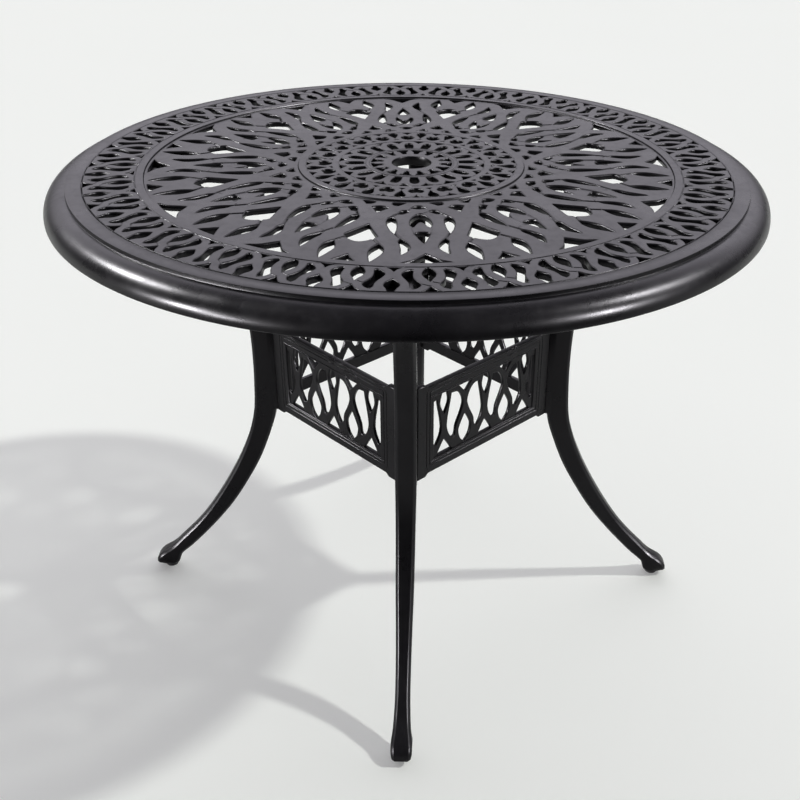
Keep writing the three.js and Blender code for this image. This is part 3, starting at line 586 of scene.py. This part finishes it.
def filletedSection(thick, wide, chamfer, fillet):  # (inward, across) of a rectangle with chamfered corners;
    # each of the eight corners is three points: one fillet before, one fillet after and one pulled in between
    half = wide / 2
    zero = np.zeros_like(half)
    corner = np.stack([
        np.stack([zero, chamfer - half], 1), np.stack([zero, half - chamfer], 1),
        np.stack([chamfer, half], 1), np.stack([thick - chamfer, half], 1),
        np.stack([thick, half - chamfer], 1), np.stack([thick, chamfer - half], 1),
        np.stack([thick - chamfer, -half], 1), np.stack([chamfer, -half], 1),
    ], 1)
    before, after = np.roll(corner, 1, 1) - corner, np.roll(corner, -1, 1) - corner
    before *= (fillet / np.linalg.norm(before, axis=2))[..., None]
    after *= (fillet / np.linalg.norm(after, axis=2))[..., None]
    pulled = corner + (before + after) * legSettings["cornerPull"]
    rounded = np.stack([corner + before, pulled, corner + after], 2)
    return rounded.reshape(len(wide), legSettings["around"], 2)


def legSweep():                                   # outer line + inward * section, closed below by the socket
    s = legSettings
    around = np.arange(s["around"])
    rows = smoothRows(legStations, s["rows"])
    outer, inner = rows[:, :2], rows[:, 2:4]
    thick = np.linalg.norm(inner - outer, axis=1)
    inward = (inner - outer) / thick[:, None]
    section = filletedSection(thick, rows[:, 4], np.full(len(rows), s["chamfer"]), s["fillet"])
    side = outer[:, None] + inward[:, None] * section[..., :1]
    points = np.concatenate([side[..., :1], section[..., 1:], side[..., 1:]], 2)
    centre = points[-1].mean(0)
    angle = np.arctan2(points[-1, :, 1] - centre[1], points[-1, :, 0] - centre[0])
    glide = np.stack([np.cos(angle), np.sin(angle)], 1) * s["socketRadius"] + [s["socketReach"], 0]
    mouth = np.column_stack([glide, np.full(len(around), points[-1, 0, 2])])
    end = np.column_stack([glide, np.full(len(around), s["socketTop"])])
    points = np.concatenate([points, mouth[None], end[None]])
    faces = gridFaces(len(points), len(around), closed=False)
    caps = [around[None], (around[::-1] + len(around) * (len(points) - 1))[None]]
    return points.reshape(-1, 3), [faces] + caps, 0


def bevelledWall(bottom, top, edge):
    near = edge * 0.3
    return [(edge, top), (near, top - near), (0.0, top - edge), (0.0, bottom + edge), (near, bottom + near),
            (edge, bottom)]


def bevelledBlock(outline, bottom, top, edge):
    return plateMesh(np.asarray(outline), bevelledWall(bottom, top, edge), [], [])


bossOutline = [(0.2120, -0.0070), (0.2208, -0.0158), (0.2320, -0.0158), (0.2320, 0.0158), (0.2208, 0.0158),
               (0.2120, 0.0070)]
padOutline = [(0.3720, -0.0340), (0.4870, -0.0340), (0.4870, 0.0340), (0.3720, 0.0340)]


def makeLeg(side, angle):
    shells = [legSweep(), bevelledBlock(bossOutline, *legSettings["boss"]),
              bevelledBlock(padOutline, *legSettings["pad"])]
    makePiece("castLeg_" + side, [turnShell(shell, angle) for shell in shells], castPaint, "table",
              ["leg_" + side], 42)


for side, angle in sides.items():
    makeLeg(side, angle)
print("stage: legs")


# apron panels: moulded frame with dropped corners round an openwork plate, drawn as (along, up) in mm
panelSettings = {"front": 0.1685, "back": 0.1595, "plateFront": 0.1665, "plateBack": 0.1615,
                 "frameEdge": 0.0012, "strandEdge": 0.0011, "plainEdge": 0.0004,
                 "grooveWidth": 0.0010, "grooveDepth": 0.0011,
                 # from here in mm; the window and the border give half width, bottom and top
                 "pitch": 88.6, "window": (112.16, 364.3, 470.2), "border": (115.2, 361.3, 473.2),
                 "ogeeStart": 122.66, "ogeeLength": 7.5, "ogeeRise": 4.7, "halfWidth": 144.66,
                 "railTop": 491.5, "railBottom": 343.0, "stiles": (120.6, 127.0), "stileEnds": (357.2, 480.6),
                 "rails": [(118.5, 473.6), (118.5, 482.6), (118.5, 361.0), (118.5, 355.4), (119, 488.6)]}
slotKeys = [(15, 462), (26.6, 460), (35.1, 451), (39.6, 436.5), (35.1, 421.7), (25.4, 402), (22.3, 386),
            (16.5, 384), (9.9, 394.6), (6.2, 407), (6.7, 419), (9.9, 436.5), (13.1, 451)]
endKeys = [(15, 462), (24.6, 460), (24.6, 392), (21.5, 386), (16.5, 384), (9.9, 394.6), (6.2, 407),
           (6.7, 419), (9.9, 436.5), (13.1, 451)]


def panelHoles():
    pitch = panelSettings["pitch"]
    lens = bothSides([(4.0, 471.6), (8.5, 452), (0, 432)])
    foot = bothSides([(0, 389), (9.0, 376), (16.8, 363.0)])
    peak = bothSides([(15.5, 471.6), (7.5, 462.0), (0, 454)])
    drop = bothSides([(0, 417), (10.0, 400), (13.2, 390), (9.0, 375), (0, 365.4)])
    shapes = [lens, foot] + [shape + [step, 0] for step in (pitch, -pitch) for shape in (lens, foot)]
    shapes += [shape + [step, 0] for step in (pitch / 2, -pitch / 2) for shape in (peak, drop)]
    slot, end = np.asarray(slotKeys, float), np.asarray(endKeys, float)
    shapes += [slot, mirrorAcross(slot), mirrorAcross(slot) + [pitch, 0], slot - [pitch, 0]]
    shapes += [end + [pitch, 0], mirrorAcross(end) - [pitch, 0]]
    return [smoothOutline(shape, 5) / 1000 for shape in shapes]


def panelOutline():                               # four quarters, each with an ogee of rise * (3t^2 - 2t^3)
    s = panelSettings
    t = np.linspace(0, 1, 9)
    ogee = np.stack([s["ogeeStart"] + s["ogeeLength"] * t, s["ogeeRise"] * (3 * t**2 - 2 * t**3)], 1)
    quarter = np.concatenate([ogee, [[s["halfWidth"], s["ogeeRise"]]]])
    right = np.concatenate([quarter + [0, s["railTop"]], (quarter * [1, -1] + [0, s["railBottom"]])[::-1]])
    return np.concatenate([right, right[::-1] * [-1, 1]])[::-1] / 1000


def rectangle(half, low, high):
    return np.array([(-half, low), (half, low), (half, high), (-half, high)]) / 1000


def straight(start, end, count=12):
    return np.linspace(np.asarray(start, float), np.asarray(end, float), count) / 1000


def makePanel(pair, angle):
    s = panelSettings
    outerWall = bevelledWall(s["back"], s["front"], s["frameEdge"])
    low, high = s["stileEnds"]
    lines = [straight((-half, height), (half, height)) for half, height in s["rails"]]
    lines += [straight((side * x, low), (side * x, high)) for side in (1, -1) for x in s["stiles"]]
    frameShell = plateMesh(panelOutline(), outerWall, [rectangle(*s["window"])], [outerWall],
                           *sinkAlong([(lines, s["grooveWidth"], s["grooveDepth"], 0.0)]))
    strand = roundedEdge(s["plateFront"], s["plateBack"], s["strandEdge"])
    edge = s["plainEdge"]
    plain = [(edge, s["plateFront"]), (0.0, s["plateFront"] - edge), (0.0, s["plateBack"] + edge),
             (edge, s["plateBack"])]
    holes = panelHoles()
    plateShell = plateMesh(rectangle(*s["border"]), plain, holes, [strand] * len(holes))
    shells = [turnShell(standShell(shell), angle) for shell in (frameShell, plateShell)]
    makePiece("apronPanel_" + pair, shells, castPaint, "table", ["apron_panel_" + pair], 50)


for pair, angle in corners.items():
    makePanel(pair, angle)
print("stage: apron")


# bolts, braces and glides keep their CAD shape
def dressNode(name, material):
    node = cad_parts[name]
    for index in range(len(node.data.materials)):
        node.data.materials[index] = material


for side in sides:
    dressNode("corner_brace_" + side, bracePaint)
    dressNode("foot_glide_" + side, nylon)
    for number in (1, 2, 3):
        dressNode("top_bolt_%s_%d" % (side, number), zincSteel)
    for number in (1, 2):
        dressNode("leg_bolt_%s_%d" % (side, number), zincSteel)
for pair in corners:
    for number in (1, 2):
        dressNode("panel_screw_%s_%d" % (pair, number), zincSteel)
print("stage: fixings")


# studio: plain pale floor, even light from above, a soft sun from the right and small lamps for the glints
floorSettings = {
    "reach": 14.0, "lines": 29, "cloudScale": 1.3,
    "dark": (0.810, 0.840, 0.775, 1), "light": (0.835, 0.865, 0.800, 1),
    # the last three paint a dark reflection: the floor in front turns black where glossy rays meet it
    "glow": 0.19, "paintedDarkReflectionFrom": -1.5, "paintedDarkReflectionWhole": -1.9, "paintedDarkReflection": (0.02, 0.02, 0.02, 1),
}


def makeFloor():                                  # level grid at z = 0 with a little cloudiness
    s = floorSettings
    line = np.linspace(-s["reach"], s["reach"], s["lines"])
    x, y = np.meshgrid(line, line)
    verts = np.stack([x.ravel(), y.ravel(), np.zeros(x.size)], 1)
    index = np.arange(x.size).reshape(x.shape)
    quads = np.stack([index[:-1, :-1], index[:-1, 1:], index[1:, 1:], index[1:, :-1]], -1).reshape(-1, 4)
    mesh = bpy.data.meshes.new("floor")
    mesh.from_pydata(verts.tolist(), [], quads.tolist())
    material = bpy.data.materials.new("floorPaper")
    material.use_nodes = True
    tree = material.node_tree
    shader = tree.nodes["Principled BSDF"]
    position = addNode(tree, "ShaderNodeTexCoord").outputs["Object"]
    cloud = addNode(tree, "ShaderNodeTexNoise", None, Vector=position, Scale=s["cloudScale"], Detail=3.0)
    colour = addNode(tree, "ShaderNodeMix", {"data_type": "RGBA"}, i0=cloud.outputs["Fac"],
                     i6=s["dark"], i7=s["light"])
    path = addNode(tree, "ShaderNodeLightPath").outputs
    place = addNode(tree, "ShaderNodeSeparateXYZ", None, i0=position).outputs
    # painted dark reflection: glossy rays see the floor in front black, the camera sees it pale
    front = mapRange(tree, place[1], s["paintedDarkReflectionWhole"], s["paintedDarkReflectionFrom"], 1.0, 0.0)
    paintedDarkReflection = addNode(tree, "ShaderNodeMath", {"operation": "MULTIPLY"}, i0=front, i1=path["Is Glossy Ray"])
    dim = addNode(tree, "ShaderNodeMix", {"data_type": "RGBA"}, i0=paintedDarkReflection.outputs[0], i6=colour.outputs[2],
                  i7=s["paintedDarkReflection"])                   # painted dark reflection: the floor in front turns black to glossy rays, seen in the table's sheen alone
    tree.links.new(dim.outputs[2], shader.inputs["Base Color"])
    shader.inputs["Roughness"].default_value = 0.9
    shader.inputs["Specular IOR Level"].default_value = 0.0
    glow = addNode(tree, "ShaderNodeMath", {"operation": "MULTIPLY"}, i0=path["Is Camera Ray"], i1=s["glow"])
    tree.links.new(glow.outputs[0], shader.inputs["Emission Strength"])
    shader.inputs["Emission Color"].default_value = (1, 1, 1, 1)
    mesh.materials.append(material)
    floor = bpy.data.objects.new("floor", mesh)
    bpy.context.collection.objects.link(floor)


worldSettings = {
    "low": 0.14, "high": 0.36, "front": 0.60, "backLevel": 1.95, "tint": (1.01, 0.975, 1.07),
    "paper": (0.86, 0.86, 0.85, 1), "rise": (0.0, 0.8), "depth": (-0.8, 0.3), "behind": (0.25, 0.75),
    "bankLower": (0.10, 0.42), "bankUpper": (0.62, 0.85),
}


def makeWorld():                                  # even light from above and a bright bank behind
    s = worldSettings
    world = bpy.data.worlds.new("studio")
    world.use_nodes = True
    tree = world.node_tree
    back = tree.nodes["Background"]
    direction = addNode(tree, "ShaderNodeTexCoord").outputs["Generated"]
    part = addNode(tree, "ShaderNodeSeparateXYZ", None, i0=direction).outputs
    rise = mapRange(tree, part[2], *s["rise"], s["low"], s["high"])
    depth = mapRange(tree, part[1], *s["depth"], s["front"], 1.0)
    level = addNode(tree, "ShaderNodeMath", {"operation": "MULTIPLY"}, i0=rise, i1=depth).outputs[0]
    behind = mapRange(tree, part[1], *s["behind"], 0.0, s["backLevel"])
    lower = mapRange(tree, part[2], *s["bankLower"], 0.0, 1.0)
    upper = mapRange(tree, part[2], *s["bankUpper"], 1.0, 0.0)
    bank = addNode(tree, "ShaderNodeMath", {"operation": "MULTIPLY"}, i0=lower, i1=upper).outputs[0]
    total = addNode(tree, "ShaderNodeMath", {"operation": "MULTIPLY_ADD"}, i0=bank, i1=behind, i2=level)
    tinted = addNode(tree, "ShaderNodeVectorMath", {"operation": "MULTIPLY"}, i0=total.outputs[0],
                     i1=s["tint"])
    tree.links.new(tinted.outputs[0], back.inputs["Color"])
    paper = addNode(tree, "ShaderNodeBackground", None, Color=s["paper"], Strength=1.0)
    toEye = addNode(tree, "ShaderNodeLightPath").outputs["Is Camera Ray"]
    seen = addNode(tree, "ShaderNodeMixShader", None, Fac=toEye, i1=back.outputs[0], i2=paper.outputs[0])
    tree.links.new(seen.outputs[0], tree.nodes["World Output"].inputs["Surface"])
    bpy.context.scene.world = world


def makeLamp(name, place, energy, degrees):       # a sun that shines from its place to the origin
    lamp = bpy.data.lights.new(name, "SUN")
    lamp.energy, lamp.angle = energy, math.radians(degrees)
    piece = bpy.data.objects.new(name, lamp)
    piece.location = place
    x, y, z = place
    piece.rotation_euler = (math.atan2(math.hypot(x, y), z), 0, math.atan2(x, -y))
    bpy.context.collection.objects.link(piece)
    return piece


sunSettings = {"place": (3.84, 0.44, 4.0), "energy": 1.3, "degrees": 3.0}
glintSettings = {                                 # place, energy, degrees; they light the sheen alone
    "left": ((-3.02, 0.98, 2.44), 5.5, 10.0), "leftLow": ((-3.62, -1.64, 0.44), 5.5, 9.0),
    "leftFront": ((-3.18, -2.424, 0.12), 2.0, 9.0), "right": ((2.98, 0.32, 2.64), 2.4, 14.0),
    "rightLow": ((3.32, -1.76, 1.28), 5.0, 10.0),
}
makeFloor()
makeWorld()
makeLamp("sun", **sunSettings)
for name, (place, energy, degrees) in glintSettings.items():
    makeLamp("glint_" + name, place, energy, degrees).visible_diffuse = False


cameraSettings = {"pitch": 0.5135, "roll": 0.0207, "yaw": math.radians(-0.49), "lens": 47.94, "sensor": 36.0,
                  "shift": (-0.0653, -0.0124), "place": (0.05406, -1.54262, 1.24116)}


def makeCamera():                                 # pitched down, banked and turned by the fitted angles
    s = cameraSettings
    pitch, roll, yaw = s["pitch"], s["roll"], s["yaw"]
    sinPitch, cosPitch = math.sin(pitch), math.cos(pitch)
    tilt = np.array([[1, 0, 0], [0, -sinPitch, -cosPitch], [0, cosPitch, -sinPitch]])
    bank = np.array([[math.cos(roll), -math.sin(roll), 0], [math.sin(roll), math.cos(roll), 0], [0, 0, 1]])
    turn = np.array([[math.cos(yaw), -math.sin(yaw), 0], [math.sin(yaw), math.cos(yaw), 0], [0, 0, 1]])
    right, down, ahead = (bank @ tilt) @ turn.T
    data = bpy.data.cameras.new("camera")
    data.lens, data.sensor_width = s["lens"], s["sensor"]
    data.shift_x, data.shift_y = s["shift"]
    camera = bpy.data.objects.new("camera", data)
    place = Matrix(np.column_stack([right, -down, -ahead]).tolist()).to_4x4()
    place.translation = s["place"]
    camera.matrix_world = place
    bpy.context.collection.objects.link(camera)
    bpy.context.scene.camera = camera


makeCamera()
bpy.context.scene.view_settings.view_transform = "Standard"
print("stage: studio")
